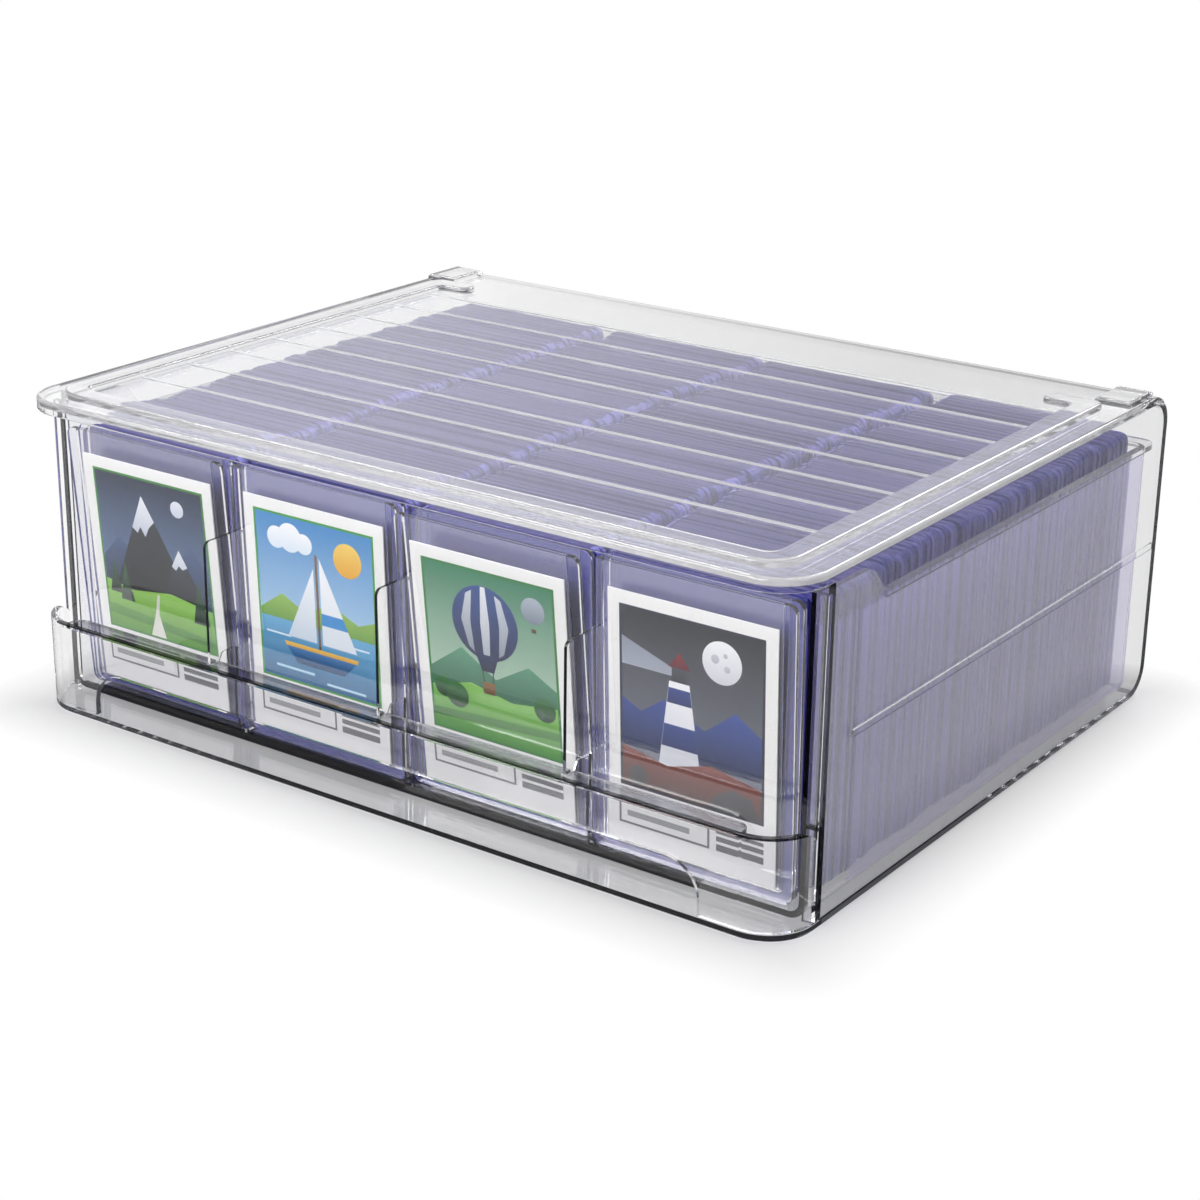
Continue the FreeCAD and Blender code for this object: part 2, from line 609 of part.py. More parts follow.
def draw_sleeve(body, name):
    """Rounded face of a sleeve, standing on the body's origin."""
    face = new_sketch(body, name, "XZ_Plane")
    side = f"{SLEEVE_WIDTH} / 2"
    radius = "Sizes.sleeve_corner_radius"
    draw_outline(face, [
        (f"-{side}", "0", radius),
        (side, "0", radius),
        (side, SLEEVE_HEIGHT, radius),
        (f"-{side}", SLEEVE_HEIGHT, radius),
    ])
    return face


def make_row(row):
    """The closed sleeves of a row, from the back wall forwards to the two that are made singly."""
    label = f"row_{row}_sleeves"
    body = new_body(label, many_solids=True)
    face = draw_sleeve(body, f"{label}_face")
    rear = pad(body, f"{label}_rear", face, SLEEVE_THICKNESS)
    count = f"{row_count(row)} - {len(SINGLE_SLEEVES)}"
    repeat(body, f"{label}_group", [rear], "Y_Axis", SLEEVE_STEP, count, reverse=True)
    place(body, row_centre(row), ROW_BACK, SLEEVE_BOTTOM)
    return body


def sleeve_place(row, order):
    """Expression for the back face of a row's sleeve, counted from the front."""
    return f"({ROW_BACK} - ({row_count(row)} - {order + 1}) * {SLEEVE_STEP})"


def stand(part, row, order, x, back, up):
    """Put a part in a sleeve that leans about its lower front edge, at a place measured from that edge."""
    lean = f"(Sizes.row_{row}_lean * Sizes.second_lean_share ^ {order})"
    edge = f"({sleeve_place(row, order)} - {SLEEVE_THICKNESS})"
    y = f"{edge} + ({back}) * cos({lean}) - ({up}) * sin({lean})"
    z = f"{SLEEVE_BOTTOM} + ({back}) * sin({lean}) + ({up}) * cos({lean})"
    turn = f"create(<<rotation>>; create(<<vector>>; 1; 0; 0); {lean})"
    part.setExpression("Placement", f"create(<<placement>>; create(<<vector>>; {x}; {y}; {z}); {turn})")


def make_sleeve(row, order):
    """Sleeve near the front of a row, with the pocket that a card drops into from above."""
    label = f"row_{row}_{SINGLE_SLEEVES[order]}"
    body = new_body(label)
    face = draw_sleeve(body, f"{label}_face")
    pad(body, f"{label}_plate", face, SLEEVE_THICKNESS)
    mouth = new_sketch(body, f"{label}_mouth", "XY_Plane", SLEEVE_HEIGHT)
    back = "-Sizes.sleeve_sheet"
    front = f"{back} - {POCKET_THICKNESS}"
    draw_rectangle(mouth, f"-{POCKET_WIDTH} / 2", f"{POCKET_WIDTH} / 2", front, back)
    cut(body, f"{label}_pocket", mouth, f"{SLEEVE_HEIGHT} - Sizes.sleeve_seam")
    stand(body, row, order, row_centre(row), SLEEVE_THICKNESS, "0")
    return body


def make_card(row):
    """Card in the pocket of a row's front sleeve."""
    card = doc.addObject("Part::Box", f"row_{row}_card")
    card.Label = f"row_{row}_card"
    card.setExpression("Length", "Sizes.card_width")
    card.setExpression("Width", "Sizes.card_thickness")
    card.setExpression("Height", "Sizes.card_height")
    stand(card, row, 0, f"{row_centre(row)} - Sizes.card_width / 2",
          f"({SLEEVE_THICKNESS} - Sizes.card_thickness) / 2", "Sizes.sleeve_seam + Sizes.card_rest_gap")
    return card


def check(part):
    """Refuse a sub-part that is empty or broken."""
    if part.Shape.isNull() or not part.Shape.isValid() or not part.Shape.Solids:
        raise RuntimeError(f"{part.Label} has no valid shape")


def main():
    """Build every sub-part, check the document and write one file for each."""
    parts = [make_case(), make_drawer()]
    for line, label in enumerate(DIVIDERS, start=-(len(DIVIDERS) // 2)):
        parts.append(make_divider(label, line))
    for row in range(1, ROW_COUNT + 1):
        singles = [make_sleeve(row, order) for order in range(len(SINGLE_SLEEVES))]
        parts += [make_row(row), *singles, make_card(row)]
    doc.recompute()
    for item in doc.Objects:
        if "Invalid" in item.State or "Error" in item.State:
            raise RuntimeError(f"{item.Label} failed: {item.State}")
    os.makedirs("parts", exist_ok=True)
    for part in parts:
        check(part)
        part.Shape.exportStep(f"parts/{part.Label}.step")
        print(part.Label, len(part.Shape.Solids), "solids,", round(part.Shape.Volume), "cubic mm")


main()
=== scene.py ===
"""Looks of the clear card storage box: clear mouldings, lavender sleeves and the cards in front."""

import logging
import math
import random
from dataclasses import dataclass
from enum import Enum

import bmesh
import bpy
from mathutils import Matrix, Vector


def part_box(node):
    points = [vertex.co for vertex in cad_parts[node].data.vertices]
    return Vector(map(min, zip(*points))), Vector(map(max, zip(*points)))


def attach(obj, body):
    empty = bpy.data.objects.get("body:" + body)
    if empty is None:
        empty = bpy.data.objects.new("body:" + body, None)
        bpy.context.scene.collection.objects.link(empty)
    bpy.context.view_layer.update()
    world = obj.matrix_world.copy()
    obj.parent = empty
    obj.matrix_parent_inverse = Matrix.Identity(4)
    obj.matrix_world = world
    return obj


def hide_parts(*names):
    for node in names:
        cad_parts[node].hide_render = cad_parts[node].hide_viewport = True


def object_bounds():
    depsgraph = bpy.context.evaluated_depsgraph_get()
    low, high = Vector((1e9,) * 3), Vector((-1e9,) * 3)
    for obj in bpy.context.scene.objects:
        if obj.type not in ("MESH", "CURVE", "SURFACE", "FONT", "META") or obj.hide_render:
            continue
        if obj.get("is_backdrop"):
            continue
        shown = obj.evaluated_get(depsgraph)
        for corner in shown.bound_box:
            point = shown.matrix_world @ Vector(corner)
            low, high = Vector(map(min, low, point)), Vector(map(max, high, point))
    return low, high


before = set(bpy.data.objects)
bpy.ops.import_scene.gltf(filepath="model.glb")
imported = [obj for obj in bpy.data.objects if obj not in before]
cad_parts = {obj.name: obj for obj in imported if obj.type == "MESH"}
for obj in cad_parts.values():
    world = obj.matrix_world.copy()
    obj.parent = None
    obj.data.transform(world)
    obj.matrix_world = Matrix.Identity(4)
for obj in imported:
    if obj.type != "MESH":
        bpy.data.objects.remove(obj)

LOG = logging.getLogger("scene")
MM = 0.001
# Beyond everything in the scene, in any unit
FAR = 400.0
QUARTER_TURN = math.pi / 2
ROW_COUNT = 4
DIVIDERS = ("divider_left", "divider_middle", "divider_right")
Place = tuple[float, float, float]


def linear(colour: str) -> tuple[float, float, float, float]:
    """Turn a hex sRGB colour into a linear one.

    Args:
        colour: Six hex digits.
    Returns:
        Linear red, green, blue and an alpha of one.
    """
    shares = [int(colour[at:at + 2], 16) / 255 for at in (0, 2, 4)]
    return (*(s / 12.92 if s <= 0.04045 else ((s + 0.055) / 1.055) ** 2.4 for s in shares), 1.0)


def add(tree: bpy.types.NodeTree, kind: str, inputs: dict | None = None, **settings) -> bpy.types.Node:
    """Add a shader node with its settings, constants and links.

    Args:
        tree: Node tree that gets the node.
        kind: Node class without its ShaderNode prefix.
        inputs: Socket name or number, with a constant or another node's output socket.
        settings: Properties of the node itself.
    Returns:
        The new node.
    """
    node = tree.nodes.new(f"ShaderNode{kind}")
    for name, value in settings.items():
        setattr(node, name, value)
    for name, value in (inputs or {}).items():
        if isinstance(value, bpy.types.NodeSocket):
            tree.links.new(value, node.inputs[name])
        else:
            node.inputs[name].default_value = value
    return node


def new_tree(name: str) -> tuple[bpy.types.Material, bpy.types.NodeTree]:
    """Make an empty node material.

    Args:
        name: Name of the material, for what it is and how its surface was made.
    Returns:
        The material and its node tree.
    """
    material = bpy.data.materials.new(name)
    material.use_nodes = True
    material.node_tree.nodes.clear()
    return material, material.node_tree


def new_object(name: str, mesh: bmesh.types.BMesh, *materials: bpy.types.Material) -> bpy.types.Object:
    """Turn a finished bmesh into an object of the scene.

    Args:
        name: Name of the piece.
        mesh: Mesh in metres in the shared frame; it is freed here.
        materials: Material slots in order.
    Returns:
        The object, at the origin.
    """
    data = bpy.data.meshes.new(name)
    mesh.to_mesh(data)
    mesh.free()
    for material in materials:
        data.materials.append(material)
    piece = bpy.data.objects.new(name, data)
    bpy.context.scene.collection.objects.link(piece)
    LOG.info("built %s with %d faces", name, len(data.polygons))
    return piece


def dress(node: str, material: bpy.types.Material) -> None:
    """Give a carried-over CAD node its material.

    Args:
        node: Name of the node.
        material: Its only material.
    """
    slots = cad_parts[node].data.materials
    slots.clear()
    slots.append(material)
    LOG.info("dressed %s in %s", node, material.name)


def lean_of(node: str) -> float:
    """Forward lean of an upright plate's CAD node in radians, from the normal of its largest face."""
    face = max(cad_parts[node].data.polygons, key=lambda item: item.area)
    return math.atan(face.normal.z / face.normal.y)


@dataclass(frozen=True)
class PaintedBand:
    """Zone of a clear moulding, in millimetres, with painted light and shade: a dark colour paints shade
    where light would run along it, a pale one with less clearness paints a milky light.
    """

    low: Place
    high: Place
    # Dark grey of painted shade, used when a band gives no colour of its own
    colour: str = "3A3A40"
    clearness: float = 0.993


@dataclass(frozen=True)
class ClearPlastic:
    """Clear moulded polystyrene: bright gloss, a faint milkiness, and zones of painted light and shade;
    painted shade darkens edges where light would run along them.
    """

    name: str
    painted_zones: tuple[PaintedBand, ...] = ()
    tint: str = "FFFFFF"
    shadow_tint: str = "F2F2F6"
    depth_colour: str = "8A8A96"
    depth: float = 1.5
    clearness: float = 0.993
    ior: float = 1.5
    roughness: float = 0.015
    ripple: float = 0.04
    ripple_size: float = 22 * MM
    ripple_height: float = 1 * MM

    def make(self) -> bpy.types.Material:
        """Build the node material.

        Returns:
            The material.
        """
        material, tree = new_tree(self.name)
        place = add(tree, "TexCoord").outputs["Object"]
        flow = add(tree, "TexNoise", {"Vector": place, "Scale": 1 / self.ripple_size, "Detail": 1.0})
        bump = add(tree, "Bump", {"Height": flow.outputs["Fac"], "Strength": self.ripple,
                                  "Distance": self.ripple_height})
        colour, clear = linear(self.tint), self.clearness
        # Each zone mixes its painted shade or painted light into the colour and clearness
        for part in self.painted_zones:
            inside = self.inside(tree, place, part)
            colour = add(tree, "Mix", {0: inside, 6: colour, 7: linear(part.colour)},
                         data_type="RGBA").outputs[2]
            clear = add(tree, "Mix", {0: inside, 2: clear, 3: part.clearness}).outputs[0]
        plastic = add(tree, "BsdfPrincipled", {
            "Base Color": colour, "Roughness": self.roughness, "IOR": self.ior,
            "Transmission Weight": clear, "Normal": bump.outputs["Normal"]})
        passed = add(tree, "BsdfTransparent", {"Color": linear(self.shadow_tint)})
        shadow = add(tree, "LightPath").outputs["Is Shadow Ray"]
        surface = add(tree, "MixShader", {0: shadow, 1: plastic.outputs[0], 2: passed.outputs[0]})
        body = add(tree, "VolumeAbsorption", {"Color": linear(self.depth_colour), "Density": self.depth})
        add(tree, "OutputMaterial", {"Surface": surface.outputs[0], "Volume": body.outputs[0]})
        return material

    @staticmethod
    def inside(tree: bpy.types.NodeTree, place: bpy.types.NodeSocket, part: PaintedBand) -> bpy.types.NodeSocket:
        """Tell where a band of the moulding is.

        Args:
            tree: Node tree of the material.
            place: Socket that gives the place on the moulding.
            part: The band.
        Returns:
            Socket that is one inside the band and zero outside it.
        """
        low, high = Vector(part.low) * MM, Vector(part.high) * MM
        offset = add(tree, "VectorMath", {0: place, 1: (low + high) / 2}, operation="SUBTRACT").outputs[0]
        size = add(tree, "VectorMath", {0: offset}, operation="ABSOLUTE").outputs[0]
        over = add(tree, "VectorMath", {0: size, 1: (high - low) / 2}, operation="SUBTRACT").outputs[0]
        axes = add(tree, "SeparateXYZ", {"Vector": over}).outputs
        flat = add(tree, "Math", {0: axes["X"], 1: axes["Y"]}, operation="MAXIMUM").outputs[0]
        worst = add(tree, "Math", {0: flat, 1: axes["Z"]}, operation="MAXIMUM").outputs[0]
        return add(tree, "Math", {0: worst, 1: 0.0}, operation="LESS_THAN").outputs[0]


@dataclass(frozen=True)
class SleeveSheet:
    """Rigid PVC sheet of a front sleeve: clear with a violet cast and a hard gloss."""

    name: str = "lavender_pvc_sheet"
    tint: str = "FEFEFF"
    shadow_tint: str = "FAFAFE"
    clearness: float = 0.995
    ior: float = 1.53
    roughness: float = 0.03
    wave: float = 0.06
    wave_size: float = 35 * MM
    wave_height: float = 1 * MM

    def make(self) -> bpy.types.Material:
        """Build the node material.

        Returns:
            The material.
        """
        material, tree = new_tree(self.name)
        place = add(tree, "TexCoord").outputs["Object"]
        bow = add(tree, "TexNoise", {"Vector": place, "Scale": 1 / self.wave_size, "Detail": 2.0})
        bump = add(tree, "Bump", {"Height": bow.outputs["Fac"], "Strength": self.wave,
                                  "Distance": self.wave_height})
        sheet = add(tree, "BsdfPrincipled", {
            "Base Color": linear(self.tint), "Roughness": self.roughness, "IOR": self.ior,
            "Transmission Weight": self.clearness, "Normal": bump.outputs["Normal"]})
        passed = add(tree, "BsdfTransparent", {"Color": linear(self.shadow_tint)})
        shadow = add(tree, "LightPath").outputs["Is Shadow Ray"]
        surface = add(tree, "MixShader", {0: shadow, 1: sheet.outputs[0], 2: passed.outputs[0]})
        add(tree, "OutputMaterial", {"Surface": surface.outputs[0]})
        return material


@dataclass(frozen=True)
class SleevePack:
    """Hundreds of PVC sleeves pressed together: their violet cast adds up, so that they look milky or deep.

    Right of one place and above one height the colour goes towards the deep one: painted shade on the sleeves
    seen over the drawer's rim, where no hazy wall stands before them.
    """

    name: str
    pale: str
    deep: str
    roughness: float = 0.25
    ior: float = 1.53
    streak: Place = (18 * MM, 18 * MM, 18 * MM)
    contrast: float = 0.4
    shade_painted_right: float = FAR
    shade_painted_above: float = FAR
    shade_painted_rise: float = 2 * MM
    shade_painted_share: float = 0.8

    def make(self) -> bpy.types.Material:
        """Build the node material.

        Returns:
            The material.
        """
        material, tree = new_tree(self.name)
        place = add(tree, "TexCoord").outputs["Object"]
        spot = add(tree, "SeparateXYZ", {0: place}).outputs
        # Painted shade: the sleeves' colour goes deeper right of one place and above one height
        outer = add(tree, "Math", {0: spot["X"], 1: self.shade_painted_right}, operation="GREATER_THAN")
        painted_top_shade = add(tree, "MapRange", {
            "Value": spot["Z"], "From Min": self.shade_painted_above, "From Max": self.shade_painted_above + self.shade_painted_rise,
            "To Max": self.shade_painted_share})
        shade = add(tree, "Attribute", attribute_name=SleeveStack.SHADE).outputs["Fac"]
        grain = add(tree, "Mapping", {"Vector": place, "Scale": [1 / size for size in self.streak]})
        lines = add(tree, "TexNoise", {"Vector": grain.outputs[0], "Scale": 1.0, "Detail": 2.0})
        mixed = add(tree, "Math", {0: lines.outputs["Fac"], 1: self.contrast, 2: shade},
                    operation="MULTIPLY_ADD")
        depth = add(tree, "Math", {0: outer.outputs[0], 1: painted_top_shade.outputs[0], 2: mixed.outputs[0]},
                    operation="MULTIPLY_ADD")
        colour = add(tree, "Mix", {0: depth.outputs[0], 6: linear(self.pale), 7: linear(self.deep)},
                     data_type="RGBA")
        pvc = add(tree, "BsdfPrincipled", {
            "Base Color": colour.outputs[2], "Roughness": self.roughness, "IOR": self.ior})
        add(tree, "OutputMaterial", {"Surface": pvc.outputs[0]})
        return material


@dataclass(frozen=True)
class PrintedStock:
    """Varnished printed card: inks from the mesh's colours, broken up by a fine print grain.

    The grain is drawn coarser than real print, so that it shows.
    """

    name: str = "printed_card_stock"
    roughness: float = 0.32
    ior: float = 1.5
    grain_size: float = 0.35 * MM
    grain_span: tuple[float, float] = (0.3, 0.7)
    grain: float = 0.12

    def make(self) -> bpy.types.Material:
        """Build the node material.

        Returns:
            The material.
        """
        material, tree = new_tree(self.name)
        place = add(tree, "TexCoord").outputs["Object"]
        ink = add(tree, "Attribute", attribute_name=PrintedCard.INK).outputs["Color"]
        speckle = add(tree, "TexNoise", {"Vector": place, "Scale": 1 / self.grain_size, "Detail": 2.0})
        level = add(tree, "MapRange", {
            "Value": speckle.outputs["Fac"], "From Min": self.grain_span[0], "From Max": self.grain_span[1],
            "To Min": 1 - self.grain, "To Max": 1.0}).outputs["Result"]
        colour = add(tree, "Mix", {0: 1.0, 6: ink, 7: level}, data_type="RGBA", blend_type="MULTIPLY")
        stock = add(tree, "BsdfPrincipled", {
            "Base Color": colour.outputs[2], "Roughness": self.roughness, "IOR": self.ior})
        add(tree, "OutputMaterial", {"Surface": stock.outputs[0]})
        return material


@dataclass(frozen=True)
class OuterCase:
    """Clear moulded sleeve round the drawer, with its places in millimetres in the shared frame.

    Its zones paint light and shade into the plastic; a zone reaches past the faces that it paints by the
    skin.
    """

    node: str = "outer_case"
    skin: float = 0.1
    plate: float = 2.5
    ceiling: float = 117.0
    top: float = 120.0
    rib_top: float = 120.5
    wall_front: float = -111.0
    wall_top: float = 115.0
    wall_zone: float = 15.0
    base_round: float = 1.5
    # Painted shade along the base's lower edge, and painted light grey on its right end
    painted_base_shade_height: float = 1.0
    painted_base_shade_colour: str = "77777E"
    base_right_front: float = -110.0
    painted_base_edge_colour: str = "B0B0B8"
    painted_base_edge_clearness: float = 0.45
    # Painted shadow on the base under the drawer's front
    painted_shadow_low: tuple[float, float] = (-150.0, -116.0)
    painted_shadow_high: tuple[float, float] = (122.0, -100.0)
    painted_shadow_colour: str = "0B0B0D"
    # Painted milky light on the top, and painted highlights on its ribs and rail
    field_low: tuple[float, float] = (-146.0, -113.0)
    field_high: tuple[float, float] = (144.0, 112.0)
    field_clearness: float = 0.945
    strip_back: float = 110.0
    strip_clearness: float = 0.82
    ribs_front: float = -112.0
    ribs_back: float = 100.0
    rib_clearness: float = 0.55
    rail_clearness: float = 0.85
    painted_light_white: str = "FFFFFF"

    def painted_zones(self) -> tuple[PaintedBand, ...]:
        """Bands of all zones of painted light and shade."""
        return self.edges() + self.painted_top_light()

    def edges(self) -> tuple[PaintedBand, ...]:
        """List the zones of painted light and shade at the case's edges.

        Returns:
            Bands of painted shade on the right wall's front edge and the base's outer edge, of painted light
            grey on the base's right end, and of a painted shadow under the drawer's front.
        """
        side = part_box(self.node)[1].x / MM
        base_side = side - self.base_round
        under, over = self.plate - self.skin, self.plate + self.skin
        painted_wall_edge_shade = PaintedBand((side - self.wall_zone, self.wall_front - self.skin, over),
                         (FAR, self.wall_front + self.skin, self.wall_top - self.skin))
        painted_base_shade = PaintedBand((-FAR, -FAR, self.skin), (base_side, FAR, self.skin + self.painted_base_shade_height),
                         self.painted_base_shade_colour)
        painted_base_edge = PaintedBand((base_side, self.base_right_front, -self.skin), (FAR, FAR, over),
                          self.painted_base_edge_colour, self.painted_base_edge_clearness)
        painted_drawer_shadow = PaintedBand((*self.painted_shadow_low, under), (*self.painted_shadow_high, over), self.painted_shadow_colour)
        return painted_wall_edge_shade, painted_base_shade, painted_base_edge, painted_drawer_shadow

    def painted_top_light(self) -> tuple[PaintedBand, ...]:
        """List the zones of painted light on the case's top.

        Returns:
            Bands of painted milky light on the field inside the rail and on the front and right strips, and
            of painted highlights on the thin ribs and the rail.
        """
        left, front = self.field_low
        right, back = self.field_high
        under, over = self.ceiling - self.skin, self.rib_top + self.skin
        field = PaintedBand((left, front, under), (right, back, self.ceiling + self.skin), self.painted_light_white,
                     self.field_clearness)
        front_strip = PaintedBand((-FAR, -FAR, under), (FAR, front, over), self.painted_light_white, self.strip_clearness)
        right_strip = PaintedBand((right, -FAR, under), (FAR, self.strip_back, over), self.painted_light_white,
                           self.strip_clearness)
        ribs = PaintedBand((left, self.ribs_front, self.top + self.skin / 2), (right, self.ribs_back, over),
                    self.painted_light_white, self.rib_clearness)
        rail = PaintedBand((-FAR, -FAR, over), (FAR, FAR, FAR), self.painted_light_white, self.rail_clearness)
        return field, front_strip, right_strip, ribs, rail

    def dress(self) -> None:
        """Dress the case in clear plastic with its painted light and shade."""
        dress(self.node, ClearPlastic("clear_case_painted_light_and_shade", self.painted_zones()).make())


@dataclass(frozen=True)
class Drawer:
    """Clear moulded trough with a low front lip, with its places in millimetres in the shared frame.

    Its zones paint light and shade into the plastic; a zone ends inside a wall where only one of the wall's
    faces is painted.
    """

    node: str = "drawer"
    skin: float = 0.1
    # Near-black colour of painted shade where light would run along an edge
    painted_shade_black: str = "0B0B0D"
    # Pale veil of light painted on the right wall's outside, and a painted shade line under its rim
    wall_low: Place = (159.5, -90.0, 5.0)
    painted_veil_colour: str = "E2DCFF"
    painted_veil_clearness: float = 0.72
    rim_inside: float = 161.5
    rim_front: float = -80.0
    rim_low: float = 99.8
    rim_high: float = 100.5
    painted_rim_shade: str = "30303C"
    # Painted grey shade on the shelf, and painted near-black shade on the lip's top edge and its bend
    shelf_side: float = 150.0
    shelf_front: float = -130.2
    shelf_middle: float = -126.4
    shelf_rear: float = -124.3
    shelf_low: float = 33.3
    shelf_edge_low: float = 30.0
    painted_shelf_shade: str = "B4B4BA"
    painted_shelf_edge_shade: str = "84848A"
    lip_left: float = -152.0
    lip_front: float = -133.0
    lip_rear: float = -130.6
    lip_low: float = 34.9
    lip_high: float = 36.0
    bend_left: float = 147.0
    bend_rear: float = -112.0
    bend_low: float = 34.7
    # Painted near-black shade on the trough's front edges, the right upright and the flange
    trough_front: float = -115.0
    floor_low: float = 2.0
    floor_high: float = 5.2
    floor_side: float = 158.0
    floor_line_end: float = 120.0
    floor_line_rear: float = -113.5
    upright_outside: float = 160.8
    upright_high: float = 120.0
    flange_inside: float = 162.9
    flange_front: float = -114.4
    flange_rear: float = -112.7
    painted_flange_shade: str = "18181C"
    # Painted near-black shade on the left end of the finger cut-out
    arch_low: Place = (-134.0, -133.0, 2.6)
    arch_high: Place = (-117.0, -130.0, 21.0)
    painted_arch_shade: str = "1A1A1E"

    def painted_zones(self) -> tuple[PaintedBand, ...]:
        """Bands of all zones of painted light and shade."""
        return self.right_wall() + self.lip() + self.front_edges()

    def right_wall(self) -> tuple[PaintedBand, ...]:
        """List the zones of the right wall.

        Returns:
            Bands of a pale veil of light painted on the wall's outside and of a painted shade line under its
            rim.
        """
        wall = PaintedBand(self.wall_low, (FAR, FAR, self.rim_low), self.painted_veil_colour, self.painted_veil_clearness)
        rim = PaintedBand((self.rim_inside, self.rim_front, self.rim_low), (FAR, FAR, self.rim_high),
                   self.painted_rim_shade)
        return wall, rim

    def lip(self) -> tuple[PaintedBand, ...]:
        """List the zones of the lip.

        Returns:
            Bands of painted grey shade on the shelf and the shelf's rear edge, and of painted near-black
            shade on the lip's top edge and its bend on the right.
        """
        left, right, high = -self.shelf_side, self.shelf_side, self.lip_high
        shelf = PaintedBand((left, self.shelf_front, self.shelf_low), (right, self.shelf_middle, high),
                     self.painted_shelf_shade)
        shelf_edge = PaintedBand((left, self.shelf_middle, self.shelf_edge_low), (right, self.shelf_rear, high),
                          self.painted_shelf_edge_shade)
        line = PaintedBand((self.lip_left, self.lip_front, self.lip_low), (right, self.lip_rear, high), self.painted_shade_black)
        bend = PaintedBand((self.bend_left, self.lip_front, self.bend_low), (FAR, self.bend_rear, high), self.painted_shade_black)
        return shelf, shelf_edge, line, bend

    def front_edges(self) -> tuple[PaintedBand, ...]:
        """List the zones of the edges at the trough's front.

        Returns:
            Bands of painted near-black shade on the floor's front edge, its right end and the right upright,
            and of painted dark shade on the flange beside it.
        """
        front, behind = self.trough_front - self.skin, self.trough_front + self.skin
        floor = PaintedBand((-self.floor_side, front, self.floor_low),
                     (self.floor_line_end, self.floor_line_rear, self.floor_high), self.painted_shade_black)
        floor_end = PaintedBand((self.floor_line_end, front, self.floor_low),
                         (self.floor_side, behind, self.floor_high), self.painted_shade_black)
        upright = PaintedBand((self.shelf_side, front, self.floor_low),
                       (self.upright_outside, behind, self.upright_high), self.painted_shade_black)
        flange = PaintedBand((self.flange_inside, self.flange_front, self.floor_low),
                      (FAR, self.flange_rear, self.lip_high), self.painted_flange_shade)
        return floor, floor_end, upright, flange

    def dress(self) -> None:
        """Dress the drawer in clear plastic with its painted light and shade, and paint near-black shade on
        the left end of its finger cut-out with a dark-tinted copy.
        """
        dress(self.node, ClearPlastic("clear_drawer_painted_light_and_shade", self.painted_zones()).make())
        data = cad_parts[self.node].data
        data.materials.append(ClearPlastic("cut_edge_painted_shade", tint=self.painted_arch_shade).make())
        for face in data.polygons:
            in_box = all(a < at / MM < b for a, at, b in zip(self.arch_low, face.center, self.arch_high))
            if in_box and abs(face.normal.y) < 0.5:
                face.material_index = len(data.materials) - 1


